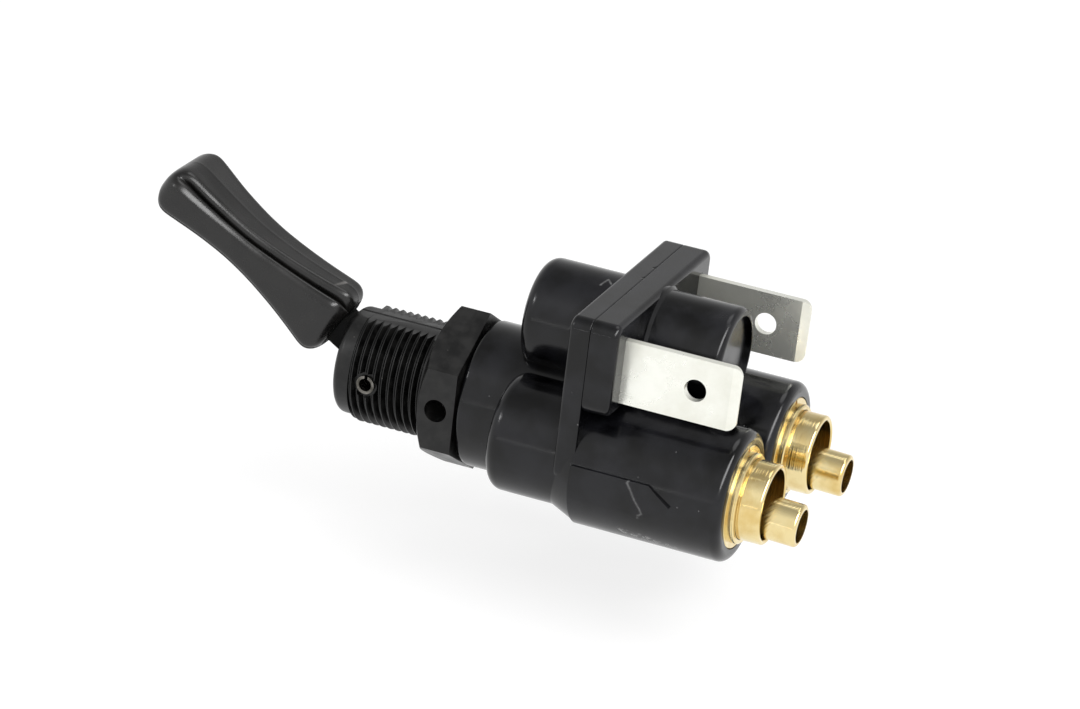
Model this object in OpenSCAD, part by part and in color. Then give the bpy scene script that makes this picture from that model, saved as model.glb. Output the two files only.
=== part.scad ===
// Air and electric toggle valve for a panel: a hand lever opens an air valve,
// and the delivered air closes a small switch on top of it.
// +X runs from the lever to the ports, +Z is up, and the origin lies on the
// neck's axis at the front face of the hexagon, where the panel seats.

/* [Neck and hexagon] */
// Diameter of the panel neck over its thread
neck_d = 11.7; // [11.5:0.1:13]
// Length of the neck in front of the hexagon
neck_len = 10; // [9.7:0.1:12]
// Diameter of the plain rim at the neck's mouth
rim_d = 10.8; // [10.4:0.1:11.4]
// Length of the plain rim
rim_len = 1.8; // [0.8:0.1:2.2]
// Rounding of the rim's outer edge
rim_round = 0.7; // [0.2:0.1:0.7]
// Depth of the flat along the neck's upper side, below the thread's crests
flat_depth = 0.65; // [0.3:0.05:0.9]
// Bore of the neck around the lever
mouth_d = 8.8; // [8.6:0.1:9.2]
// Chamfer at the mouth of that bore
mouth_chamfer = 0.3; // [0.1:0.1:0.4]
// Hexagon across its flats
hex_af = 14.4; // [14:0.1:17]
// Thickness of the hexagon
hex_len = 3.8; // [3:0.1:5]
// Length of the chamfer on the hexagon's front corners
hex_chamfer = 0.7; // [0.3:0.1:1]
// Diameter of the exhaust vent in the hexagon
vent_d = 2.3; // [1.2:0.1:2.4]
// Length of the spigot that screws into the body
spigot_len = 4.4; // [4:0.1:5]
// Wall that guides the spool behind the lever's bore
guide_len = 1.8; // [1.4:0.1:2]

/* [Lever] */
// Angle of the raised lever above the neck's axis
lever_up = 31.2; // [28:0.2:33]
// Depth of the pivot behind the neck's mouth
pivot_depth = 3.7; // [3.6:0.1:4]
// Diameter of the slotted spring pin
pin_d = 1.86; // [1.5:0.02:1.9]
// Wall of the slotted spring pin
pin_wall = 0.28; // [0.25:0.01:0.45]
// Slot of the spring pin
pin_slot = 0.35; // [0.3:0.05:0.7]
// Diameter of the spot face round each end of the pin
pin_face_d = 2.5; // [2.2:0.1:3]
// Depth of that spot face below the thread's crests
pin_face = 0.6; // [0.4:0.05:0.7]
// Distance from the pivot to the handle's shoulder
handle_start = 6.2; // [6.1:0.1:8]
// Length of the handle
handle_len = 22.1; // [20:0.1:30]
// Handle thickness at the shoulder
base_t = 8.4; // [6.5:0.1:8.8]
// Handle thickness at its waist
waist_t = 3.9; // [2.8:0.1:4.5]
// Handle thickness at the tip
tip_t = 5.2; // [3.6:0.1:6]
// Distance from the shoulder to the handle's waist
waist_at = 13; // [10:0.1:15]
// Handle width at the shoulder
base_w = 6; // [5:0.1:7]
// Handle width at the tip
tip_w = 9.4; // [7:0.1:11]
// Distance from the shoulder to where the width flares out
flare_at = 10.6; // [6:0.1:14]
// Rounding of the handle's long edges
edge_round = 1.2; // [0.8:0.1:1.4]
// Depth of the groove that runs along each of those edges
groove_depth = 0.65; // [0.2:0.05:0.7]
// Hollow of the handle's upper and lower faces
dish = 0.3; // [0:0.05:0.5]
// Rounding of the handle's shoulder
base_round = 0.9; // [0.6:0.1:1.5]
// Rounding of the handle's tip
tip_round = 1.5; // [0.6:0.1:1.8]
// Thickness of the stem inside the neck
stem_t = 3; // [2:0.1:3]
// Width of the stem
stem_w = 3; // [2.4:0.1:3.2]
// Diameter of the hub round the pin
hub_d = 4; // [3.4:0.1:4.2]
// Width of the hub
hub_w = 5.2; // [4:0.1:5.6]
// Width of the cam behind the hub
cam_w = 2.8; // [2:0.1:3]
// Distance from the pivot to the cam's face with the lever raised
cam_base = 2.3; // [2.2:0.05:2.5]
// Spool travel for each radian of lever swing
cam_rate = 1.2; // [1:0.05:1.25]

/* [Body] */
// Diameter of the round barrel behind the hexagon
barrel_d = 14.6; // [14:0.1:16]
// Rounding of the barrel's front edge
barrel_round = 0.4; // [0.1:0.1:0.8]
// Length of barrel that shows in front of the lobes
barrel_show = 5.4; // [5:0.1:7]
// Distance of each port's axis from the middle
port_y = 6.91; // [6.6:0.05:8]
// Drop of the ports' axes below the neck's axis
port_drop = 0.54; // [0:0.02:1]
// Diameter of the port sleeves behind the flange
port_d = 13; // [12.4:0.02:13.4]
// Length of the port sleeves behind the flange
port_len = 15.1; // [14.6:0.1:18]
// Rounding of the sleeves' rear edges
port_round = 0.9; // [0.3:0.1:1]
// Diameter of the port lobes in front of the flange
lobe_d = 11.6; // [11:0.1:12.4]
// Length of the port lobes in front of the flange
lobe_len = 7.2; // [6.8:0.1:9]
// Length of the switch lobe in front of the flange
switch_lobe_len = 7.7; // [6.8:0.1:9]
// Rounding of the lobes' front edges
lobe_round = 1.2; // [0.4:0.1:1.6]
// Length of the flare from lobe to sleeve
flare_len = 2.9; // [1.5:0.1:4]
// Height of the switch's axis above the neck's axis
switch_z = 9.86; // [9.4:0.02:11]
// Diameter of the switch lobe in front of the flange
switch_lobe_d = 11; // [10.4:0.1:11]
// Half width of the flange
flange_y = 12.9; // [12.6:0.1:14]
// Height of the flange's top edge above the neck's axis
flange_top = 15.4; // [15.4:0.1:17]
// Thickness of the flange on the body's side
flange_t = 2.1; // [1.8:0.1:3]
// Rounding of the flange's upper corners
flange_round = 1.2; // [0.9:0.1:2]
// Rounding of the edges round the flange's front
flange_edge = 0.4; // [0.1:0.1:0.8]
// Rounding of the edges where the flange meets the switch cover
seam_edge = 0.12; // [0.05:0.01:0.3]
// Thickness of the web between the port sleeves
web_t = 3; // [2:0.1:5]
// Height of the raised flow arrows
arrow_h = 0.35; // [0.1:0.05:0.5]
// Length of the flow arrows
arrow_len = 10.1; // [6:0.1:12]
// Width of the flow arrows
arrow_w = 3.3; // [2:0.1:4.5]
// Length of the arrows' heads
arrow_head = 2.3; // [1:0.1:4]

/* [Switch] */
// Thickness of the switch cover's flange
cover_t = 2.8; // [2.6:0.1:4]
// Height of the cover's lower edge above the neck's axis
cover_low = 6.2; // [6:0.1:6.4]
// Rounding of the edges round the back of the cover's flange
cover_edge = 0.6; // [0.2:0.1:0.8]
// Diameter of the cover's spring barrel
spring_barrel_d = 10.4; // [9.6:0.1:10.6]
// Length of the spring barrel behind the cover's flange
spring_barrel_len = 7.7; // [7:0.1:10]
// Rounding of the spring barrel's end
spring_barrel_round = 0.7; // [0.3:0.1:1]
// Bevel round the root of the spring barrel
spring_barrel_root = 0.3; // [0.1:0.1:0.3]
// Diameter of the recess in the spring barrel's end
end_recess_d = 8.8; // [6:0.1:9]
// Depth of that recess
end_recess = 0.5; // [0.2:0.1:0.7]
// Width of the blade terminals
blade_w = 6.35; // [6.3:0.01:6.4]
// Thickness of the blade terminals
blade_t = 0.8; // [0.5:0.01:0.85]
// Length of the blades behind the cover
blade_len = 11.6; // [8:0.1:14]
// Distance of each blade from the middle
blade_y = 10.05; // [9.8:0.05:10.4]
// Height of the blades' middle above the neck's axis
blade_z = 10.35; // [10.1:0.05:10.5]
// Hole in each blade
blade_hole_d = 2.2; // [1.2:0.1:2.6]
// Distance of that hole from the blade's tip
blade_hole_x = 4.3; // [3:0.1:5]
// Rounding of the blades' tip corners
blade_round = 0.9; // [0.3:0.1:1.5]
// Lead-in bevel at the blades' tips
blade_bevel = 0.9; // [0.4:0.1:1.5]
// Bore of the pressure chamber in the switch lobe
chamber_d = 7.6; // [7.2:0.1:8]
// Bore of the spring barrel
spring_bore_d = 7.2; // [6.8:0.1:7.6]
// Wall between the spring and the barrel's recessed end
spring_wall = 0.9; // [0.6:0.1:1.5]
// Wall in front of the pressure chamber
chamber_wall = 1.3; // [1:0.1:1.5]
// Travel of the switch piston
switch_travel = 0.4; // [0.3:0.05:0.45]

/* [Valve] */
// Bore that the spool slides in
bore_d = 5.6; // [5.2:0.1:5.8]
// Wall behind the spool's bore
bore_wall = 1.5; // [1:0.1:1.8]
// Diameter of the spool's stem
stem_d = 3.2; // [2.8:0.1:3.3]
// Diameter of the spool's head under the cam
head_d = 7.2; // [6.6:0.1:7.6]
// Thickness of the spool's head
head_len = 1; // [0.8:0.1:1.2]
// Diameter of the exhaust chamber behind the guide
exhaust_d = 6.8; // [6.4:0.1:7.2]
// Section of the valve's sealing rings
ring_d = 0.9; // [0.8:0.02:0.92]
// Passage from the delivery port to the spool
delivery_d = 1.6; // [1:0.1:1.6]
// Passage from the supply port to the spool
supply_d = 0.8; // [0.6:0.05:0.8]
// Passage that feeds the switch
feed_d = 0.8; // [0.5:0.05:0.8]
// Air way along each port sleeve
airway_d = 2.6; // [1.6:0.1:3]

/* [Tube ports] */
// Outer diameter of the brass cartridges
cartridge_d = 10.2; // [10:0.05:10.4]
// Length of the cartridges inside the sleeves
cartridge_len = 8.2; // [8:0.1:9]
// Diameter of the cartridge's raised boss
boss_d = 8.9; // [8.7:0.05:9.4]
// Bore of the cartridge round the collet's ridge
cavity_d = 9; // [8.8:0.05:9.2]
// Wall at the cartridge's inner end
cartridge_wall = 0.6; // [0.4:0.1:0.8]
// Length of the boss behind the sleeve's end
boss_len = 0.7; // [0.3:0.05:0.8]
// Length of the lip that holds the collet back, inside the sleeve
lip_len = 1.2; // [0.8:0.1:1.6]
// Chamfer at the edges of the cartridge's face and boss
cartridge_chamfer = 0.12; // [0.05:0.01:0.2]
// Diameter of the punched dimple in the cartridge's face
dimple_d = 0.5; // [0.3:0.05:0.6]
// Outer diameter of the release collets
collet_d = 7.9; // [7.8:0.02:8]
// Wall of the release collets
collet_wall = 0.5; // [0.45:0.01:0.6]
// Rounding of the collet's outer rim
collet_round = 0.3; // [0.1:0.05:0.35]
// Length of collet that stands out of the sleeve
collet_show = 3.05; // [2.6:0.05:3.6]
// Travel of a collet when it is pressed in
collet_travel = 1; // [0.6:0.1:1.1]
// Section of the tube seals
seal_d = 1.4; // [1.3:0.02:1.5]
// Outer diameter of the tube inserts
insert_d = 4.2; // [4:0.02:4.3]
// Wall of the tube inserts
insert_wall = 0.45; // [0.3:0.01:0.6]
// Length of insert that stands out of the collet
insert_show = 3.07; // [1:0.01:4]

/* [Clearances] */
// Radial clearance of parts that turn or slide
running = 0.06; // [0.04:0.01:0.08]
// Clearance round parts that are pressed, screwed or seated
seated = 0.02; // [0.01:0.005:0.03]
// Gap between the cam and the spool's head
cam_gap = 0.1; // [0.05:0.01:0.2]
// Gap between a spool land and the passage beside it
land_gap = 0.1; // [0.05:0.01:0.15]
// Gap of a blade in its slot, and of the open contacts
slot_gap = 0.1; // [0.05:0.01:0.15]
// Clearance between a coil spring and its pilot
coil_gap = 0.1; // [0.05:0.01:0.2]
// Gap kept free at the end of a stroke
stroke_gap = 0.35; // [0.2:0.01:0.4]
// Gap that shows between the hexagon and the barrel
seam_gap = 0.25; // [0.1:0.05:0.4]

/* [Hidden] */
$fn = 64;
// Overlap of shapes that are joined, and overshoot of cuts
lap = 0.2;
gloss_black = [0.07, 0.07, 0.08];
matt_black = [0.15, 0.15, 0.15];
brass = [0.83, 0.66, 0.3];
tinned = [0.82, 0.82, 0.76];
steel = [0.7, 0.7, 0.7];
rubber = [0.05, 0.05, 0.05];
acetal = [0.9, 0.9, 0.86];

// Lever and cam
lever_swing = 2 * lever_up;
spool_travel = cam_rate * lever_swing * PI / 180;
pivot_x = pivot_depth - neck_len;
handle_end = handle_start + handle_len;
waist_s = handle_start + waist_at;
flare_s = handle_start + flare_at;
base_curve = 1.6;
tip_curve = 2;
taper = 0.35;
fade_len = 1.5;
lip_angle = 13;

// Spool and bonnet along X, from the lever to the ports
head_x = pivot_x + cam_base + cam_gap;
guide_x = head_x + head_len + spool_travel + stroke_gap;
exhaust_x = guide_x + guide_len;
spigot_x = hex_len + spigot_len;
barrel_x = hex_len + seam_gap;
lobe_x = hex_len + barrel_show;
flange_x = lobe_x + lobe_len;
seam_x = flange_x + flange_t;
port_x = seam_x + port_len;
ring_r = ring_d / 2;
ring_lip = 0.2;
land_half = ring_r + ring_lip;
front_ring_x = spigot_x - land_half - land_gap;
delivery_x = spigot_x + spool_travel + delivery_d / 2 + land_gap;
rear_ring_x = delivery_x + delivery_d / 2 + land_half + land_gap;
supply_x = rear_ring_x + ring_r + supply_d / 2 + land_gap;
land_end = rear_ring_x + land_half;
bore_x = seam_x - bore_wall;
return_wire_d = 0.44;
return_mean_r = stem_d / 2;
return_pilot_r = return_mean_r - return_wire_d / 2 - coil_gap;
return_pilot_len = 0.8;
return_pilot_x = land_end + return_pilot_len;
spigot_d = neck_d - 2 * seated;
spigot_lip = 0.3;
bonnet_ring_x = spigot_x - ring_d - spigot_lip;

// Switch along X
switch_lobe_x = flange_x - switch_lobe_len;
chamber_x = switch_lobe_x + chamber_wall;
feed_x = chamber_x + feed_d / 2 + land_gap;
piston_x = chamber_x + 2 * land_gap;
piston_nose = 0.9;
piston_len = 4.2;
piston_ring_d = 1;
piston_ring_x = piston_x + (piston_nose + piston_len) / 2;
bridge_t = 0.5;
bridge_x = seam_x + slot_gap;
foot_x = bridge_x + bridge_t + switch_travel + slot_gap;
pocket_x = foot_x + blade_t;
slot_w = blade_t + slot_gap;
pocket_half = blade_w / 2 + slot_gap;
cover_x = seam_x + cover_t;
spring_barrel_x = cover_x + spring_barrel_len;
spring_end_x = spring_barrel_x - end_recess - spring_wall;
switch_stem_d = 3;
switch_stem_room = 3;
switch_stem_x = spring_end_x - switch_stem_room;
switch_wire_d = 0.5;
switch_coil_room = 0.5;
switch_mean_r = (switch_stem_d + switch_wire_d) / 2 + switch_coil_room;
bridge_w = 3.8;
foot_ledge = 0.6;
foot_reach = spring_bore_d / 2 + foot_ledge;
contact_lap = 2.8;
bridge_half = foot_reach + contact_lap;
blade_end = cover_x + blade_len;

// Tube ports along X
collet_bore_d = collet_d - 2 * collet_wall;
cartridge_x = port_x - cartridge_len;
lip_x = port_x - lip_len;
collet_end = port_x + collet_show;
collet_start = cartridge_x + cartridge_wall + seal_d + collet_travel + stroke_gap;
seal_x = cartridge_x + cartridge_wall + seal_d / 2 + seated;
seal_mean = cavity_d / 2 - seated - seal_d / 2;
insert_end = collet_end + insert_show;
insert_lip = 1.1;
insert_start = cartridge_x - insert_lip;
insert_flange_d = insert_d + 2 * insert_lip;
insert_room_d = insert_flange_d + 2 * insert_lip;
insert_room_x = insert_start - insert_lip / 2;
// The inserts lie loose: each rests on its seal and on the collet's mouth
sag_seal = seal_mean - seal_d / 2 - insert_d / 2 - seated;
sag_mouth = (collet_bore_d - insert_d) / 2 - running;
insert_tilt = atan((sag_mouth - sag_seal) / (collet_end - seal_x));

// A round bar along X
module bar(x0, x1, d) {
    translate([x0, 0, 0]) rotate([0, 90, 0]) cylinder(d = d, h = x1 - x0);
}

// Half of a section along X: it reaches out from the axis to two rounded corners
module half_section(reach, length, round0, round1) {
    translate([0, round0]) square([reach, length - round0 - round1]);
    square([reach - max(round0, round1), length]);
    if (round0 > 0) intersection() {
        translate([reach - round0, round0]) circle(round0);
        square([reach, round0 + lap]);
    }
    if (round1 > 0) intersection() {
        translate([reach - round1, length - round1]) circle(round1);
        translate([0, length - round1 - lap]) square([reach, round1 + lap]);
    }
}

// A round bar along X with rounded edges at its ends
module rounded_bar(x0, x1, d, round0, round1) {
    translate([x0, 0, 0]) rotate([0, 90, 0]) rotate_extrude()
        half_section(d / 2, x1 - x0, round0, round1);
}

// A flat plate across X with round corners and with rounded edges at its two faces
module rounded_plate(x0, x1, half_w, low, high, corner, round0, round1) {
    t = x1 - x0;
    inner_w = half_w - corner;
    inner_h = (high - low) / 2 - corner;
    translate([x0, 0, (high + low) / 2]) {
        translate([0, -inner_w - lap, -inner_h - lap])
            cube([t, 2 * (inner_w + lap), 2 * (inner_h + lap)]);
        for (flip = [0, 180]) rotate([flip, 0, 0]) {
            translate([0, 0, inner_h]) edge_strip(corner, t, 2 * inner_w, round0, round1);
            rotate([90, 0, 0]) translate([0, 0, inner_w])
                edge_strip(corner, t, 2 * inner_h, round0, round1);
        }
        for (side = [-1, 1], end = [-1, 1]) translate([0, side * inner_w, end * inner_h])
            rounded_bar(0, t, 2 * corner, round0, round1);
    }
}

// One straight edge of such a plate, along Y with its outside upwards
module edge_strip(reach, t, length, round0, round1) {
    rotate([-90, -90, 0]) linear_extrude(length, center = true)
        half_section(reach, t, round0, round1);
}

// A turned piece along X from an outline of [radius, x] points
module turned(outline) {
    rotate([0, 90, 0]) rotate_extrude() polygon(outline);
}

// A ring of round section about the X axis
module o_ring(x, mean_r, section_d) {
    translate([x, 0, 0]) rotate([0, 90, 0]) rotate_extrude()
        translate([mean_r, 0]) circle(d = section_d, $fn = 24);
}

// A rectangle with rounded corners, centred
module rounded_square(size, r) {
    square([size[0] - 2 * r, size[1]], center = true);
    square([size[0], size[1] - 2 * r], center = true);
    for (sx = [-1, 1], sy = [-1, 1]) {
        translate([sx * (size[0] / 2 - r), sy * (size[1] / 2 - r)]) circle(r);
    }
}

// Turns a flat shape drawn in Y and Z into a plate from x0 to x1
module plate(x0, x1) {
    translate([x0, 0, 0]) rotate([90, 0, 90]) linear_extrude(x1 - x0) children();
}

// A coil spring along X, swept as one closed tube
module coil(x0, x1, mean_r, wire_d, turns) {
    sides = 8;
    steps = 16 * turns;
    wire_r = wire_d / 2;
    rise = x1 - x0 - wire_d;
    points = [
        for (i = [0 : steps], k = [0 : sides - 1])
            let (a = 360 * turns * i / steps, b = 360 * k / sides, r = mean_r + wire_r * cos(b))
            [x0 + wire_r + rise * i / steps + wire_r * sin(b), r * cos(a), r * sin(a)]
    ];
    skin = [
        for (i = [0 : steps - 1], k = [0 : sides - 1])
            let (p = i * sides + k, q = i * sides + (k + 1) % sides)
            each [[p, p + sides, q], [q, p + sides, q + sides]]
    ];
    first = [for (k = [0 : sides - 1]) k];
    last = [for (k = [0 : sides - 1]) steps * sides + sides - 1 - k];
    polyhedron(points, concat(skin, [first, last]));
}

// Both port axes
module at_ports() {
    for (side = [-1, 1]) translate([0, side * port_y, -port_drop]) children();
}

// Flow arrow that follows the sleeve's round side, on the side towards -Y
module flow_arrow(tail_x, tip_x) {
    shoulder_x = tip_x + (tail_x < tip_x ? -arrow_head : arrow_head);
    half = arrow_w / 2;
    intersection() {
        bar(min(tail_x, tip_x), max(tail_x, tip_x), port_d + 2 * arrow_h);
        rotate([90, 0, 0]) linear_extrude(port_d) polygon([
            [tail_x, -half], [shoulder_x, -half], [tip_x, 0], [shoulder_x, half], [tail_x, half]
        ]);
    }
}

// Moulded body: barrel, lobes, flange and port sleeves in one piece
module body() {
    color(gloss_black) difference() {
        union() {
            rounded_bar(barrel_x, seam_x, barrel_d, barrel_round, 0);
            for (side = [-1, 1]) translate([0, side * port_y, 0])
                rounded_bar(lobe_x, seam_x, lobe_d, lobe_round, 0);
            translate([0, 0, switch_z])
                rounded_bar(switch_lobe_x, seam_x, switch_lobe_d, lobe_round, 0);
            rounded_plate(flange_x, seam_x, flange_y, -flange_round, flange_top,
                flange_round, flange_edge, seam_edge);
            at_ports() {
                translate([seam_x - flare_len, 0, 0]) rotate([0, 90, 0])
                    cylinder(d1 = lobe_d - 2 * port_drop, d2 = port_d, h = flare_len);
                rounded_bar(seam_x - lap, port_x, port_d, 0, port_round);
            }
            translate([seam_x - lap, -port_y, -port_drop - web_t / 2])
                cube([port_len - 2 * port_round, 2 * port_y, web_t]);
            translate([0, -port_y, -port_drop]) flow_arrow(seam_x, seam_x + arrow_len);
            mirror([0, 1, 0]) translate([0, -port_y, -port_drop])
                flow_arrow(port_x - port_round, port_x - port_round - arrow_len);
        }
        // Socket for the bonnet, and the spool's bore behind it
        bar(barrel_x - lap, spigot_x, neck_d);
        bar(spigot_x - lap, bore_x, bore_d);
        // Air ways from the ports to the spool
        translate([0, -port_y, -port_drop]) bar(delivery_x - delivery_d / 4, cartridge_x, airway_d);
        translate([0, port_y, -port_drop]) bar(supply_x - supply_d / 4, cartridge_x, airway_d);
        translate([delivery_x, -port_y, -port_drop]) rotate([-90, 0, 0])
            cylinder(d = delivery_d, h = port_y);
        translate([supply_x, 0, -port_drop]) rotate([-90, 0, 0])
            cylinder(d = supply_d, h = port_y);
        // Pressure chamber of the switch, fed from the delivery side
        translate([feed_x, 0, 0]) cylinder(d = feed_d, h = switch_z);
        translate([0, 0, switch_z]) bar(chamber_x, seam_x + lap, chamber_d);
        // Seats of the cartridges, and room for the flanges of the inserts
        at_ports() {
            bar(cartridge_x, port_x + lap, cartridge_d + 2 * seated);
            bar(insert_room_x, cartridge_x + lap, insert_room_d);
        }
    }
}

// Moulded neck with its hexagon, screwed into the body's barrel
module bonnet() {
    corner_d = hex_af / cos(30);
    ring_floor = neck_d / 2 - ring_d - 2 * seated;
    color(matt_black) difference() {
        union() {
            rounded_bar(-neck_len, rim_len - neck_len + lap, rim_d, rim_round, 0);
            bar(rim_len - neck_len, lap, neck_d);
            intersection() {
                rotate([0, 90, 0]) cylinder(d = corner_d, h = hex_len, $fn = 6);
                turned([
                    [0, 0], [hex_af / 2, 0], [corner_d / 2, hex_chamfer],
                    [corner_d / 2 + lap, hex_chamfer], [corner_d / 2 + lap, hex_len], [0, hex_len]
                ]);
            }
            bar(hex_len - lap, spigot_x, spigot_d);
        }
        // Flat along the neck's upper side, and spot faces for the pivot pin
        translate([-neck_len - lap, -neck_d, neck_d / 2 - flat_depth])
            cube([neck_len + lap, 2 * neck_d, neck_d]);
        for (flip = [0, 180]) rotate([flip, 0, 0])
            translate([pivot_x, -neck_d / 2 - lap, 0]) rotate([-90, 0, 0])
                cylinder(d = pin_face_d, h = pin_face + lap);
        // Bore round the lever, guide of the spool and exhaust chamber
        bar(-neck_len - lap, guide_x, mouth_d);
        translate([-neck_len, 0, 0]) rotate([0, 90, 0])
            cylinder(d1 = mouth_d + 2 * mouth_chamfer, d2 = mouth_d, h = mouth_chamfer);
        bar(guide_x - lap, exhaust_x + lap, stem_d + 2 * running);
        bar(exhaust_x, spigot_x + lap, exhaust_d);
        // Holes for the pivot pin and the exhaust vent
        translate([pivot_x, -neck_d, 0]) rotate([-90, 0, 0])
            cylinder(d = pin_d + 2 * seated, h = 2 * neck_d);
        translate([hex_len / 2, -hex_af, 0]) rotate([-90, 0, 0])
            cylinder(d = vent_d, h = hex_af);
        // Groove of the sealing ring on the spigot
        turned([
            [ring_floor, bonnet_ring_x - ring_r - seated], [neck_d, bonnet_ring_x - ring_r - seated],
            [neck_d, bonnet_ring_x + ring_r + seated], [ring_floor, bonnet_ring_x + ring_r + seated]
        ]);
    }
}

// Sealing ring between the bonnet and the body
module bonnet_seal() {
    color(rubber) o_ring(bonnet_ring_x, neck_d / 2 - ring_r - seated, ring_d);
}

// Thickness and width of the handle at a distance s from the pivot
function handle_t(s) = s < waist_s
    ? waist_t + (base_t - waist_t) * pow((waist_s - s) / waist_at, base_curve)
    : waist_t + (tip_t - waist_t) * pow((s - waist_s) / (handle_end - waist_s), tip_curve);
function handle_w(s) = base_w + (tip_w - base_w) * (
    taper * (s - handle_start) / handle_len
    + (1 - taper) * pow(max(0, s - flare_s) / (handle_end - flare_s), tip_curve));
// The grooves run out at the shoulder and fade out towards the tip, as the dished faces do
function groove_share(s) =
    min(1, (s - handle_start) / base_round, max(0, (handle_end - tip_round / 2 - s) / fade_len));
function dish_share(s) = min(groove_share(s), max(0, (s - handle_start - base_round) / fade_len));
// One section of the handle, drawn in to round the ends, as a loop of points
function handle_section(s, draw_in) =
    let (w = handle_w(s) / 2 - draw_in, t = handle_t(s) / 2 - draw_in)
    let (c = min(edge_round, t - lap, w - lap))
    let (notch_r = c * (1 - groove_share(s) * groove_depth / edge_round))
    let (flat = w - c, hollow = dish * dish_share(s))
    [for (q = [0 : 3]) each concat(
        [for (a = [0, lip_angle, 45, 90 - lip_angle, 90])
            let (r = a == 45 ? notch_r : c, y = q % 3 == 0 ? flat : -flat, z = q < 2 ? t - c : c - t)
            [-s, y + r * cos(90 * q + a), z + r * sin(90 * q + a)]],
        [for (f = q % 2 == 0 ? [0.5, 0, -0.5] : [])
            let (up = q == 0 ? 1 : -1)
            [-s, up * f * flat, up * (t - hollow * (1 - f * f))]])];

// Handle as a loft through its sections, along -X from the pivot
module handle() {
    steps = 22;
    plain_len = handle_len - base_round - tip_round;
    stations = concat(
        [for (a = [0, 30, 60, 90]) [handle_start + base_round * (1 - cos(a)), base_round * (1 - sin(a))]],
        [for (i = [1 : steps - 1]) [handle_start + base_round + plain_len * i / steps, 0]],
        [for (a = [90, 60, 30, 0]) [handle_end - tip_round * (1 - cos(a)), tip_round * (1 - sin(a))]]);
    loops = [for (station = stations) handle_section(station[0], station[1])];
    count = len(loops[0]);
    last = len(loops) - 1;
    skin = [for (i = [0 : last - 1], k = [0 : count - 1])
        let (p = i * count + k, q = i * count + (k + 1) % count)
        each [[p, q, q + count], [p, q + count, p + count]]];
    caps = [[for (k = [0 : count - 1]) count - 1 - k], [for (k = [0 : count - 1]) last * count + k]];
    polyhedron([for (loop = loops) each loop], concat(skin, caps));
}

// Cam face that pushes the spool evenly: its reach grows with the angle
function cam_point(a) =
    let (reach = cam_base + cam_rate * a * PI / 180)
    [reach * cos(a) - cam_rate * sin(a), -reach * sin(a) - cam_rate * cos(a)];

// Moulded lever: handle, stem, hub and cam in one piece
module lever() {
    cam_over = 4;
    cam_steps = 14;
    cam_step = (lever_swing + 2 * cam_over) / cam_steps;
    color(matt_black) translate([pivot_x, 0, 0]) difference() {
        union() {
            rotate([0, lever_up, 0]) {
                handle();
                translate([-handle_start - base_round, -stem_w / 2, -stem_t / 2])
                    cube([handle_start + base_round, stem_w, stem_t]);
            }
            rotate([90, 0, 0]) cylinder(d = hub_d, h = hub_w, center = true);
            rotate([90, 0, 0]) linear_extrude(cam_w, center = true) polygon(concat([[0, 0]],
                [for (i = [0 : cam_steps]) cam_point(-cam_over + cam_step * i)]));
        }
        rotate([90, 0, 0]) cylinder(d = pin_d + 2 * running, h = neck_d, center = true);
    }
}

// Slotted spring pin, pressed through the neck
module pivot_pin() {
    pin_sink = 0.3;
    pin_len = neck_d - 2 * pin_sink;
    slot_turn = 88;
    color(steel) translate([pivot_x, 0, 0]) rotate([90, 0, 0]) difference() {
        cylinder(d = pin_d, h = pin_len, center = true);
        cylinder(d = pin_d - 2 * pin_wall, h = pin_len + lap, center = true);
        rotate([0, 0, slot_turn]) translate([0, -pin_slot / 2, -pin_len])
            cube([pin_d, pin_slot, 2 * pin_len]);
    }
}

// Outline of a land with its ring groove, centred at x
function land(x, land_r, floor_r, half, groove_half) = [
    [land_r, x - half], [land_r, x - groove_half], [floor_r, x - groove_half],
    [floor_r, x + groove_half], [land_r, x + groove_half], [land_r, x + half]
];

// Spool that the cam pushes: it shuts the exhaust, then opens the supply
module valve_spool() {
    land_r = bore_d / 2 - running;
    floor_r = bore_d / 2 - ring_d - 2 * seated;
    groove_half = ring_r + seated;
    color(acetal) turned(concat(
        [[0, head_x], [head_d / 2, head_x], [head_d / 2, head_x + head_len]],
        [[stem_d / 2, head_x + head_len], [stem_d / 2, front_ring_x - land_half]],
        land(front_ring_x, land_r, floor_r, land_half, groove_half),
        [[stem_d / 2, front_ring_x + land_half], [stem_d / 2, rear_ring_x - land_half]],
        land(rear_ring_x, land_r, floor_r, land_half, groove_half),
        [[return_pilot_r, land_end], [return_pilot_r, return_pilot_x], [0, return_pilot_x]]
    ));
}

// Sealing ring of the spool at x
module spool_seal(x) {
    color(rubber) o_ring(x, bore_d / 2 - seated - ring_r, ring_d);
}

// Spring that pushes the spool back towards the cam
module return_spring() {
    turns = 5;
    color(steel) coil(land_end + seated, bore_x - seated, return_mean_r, return_wire_d, turns);
}

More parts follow.
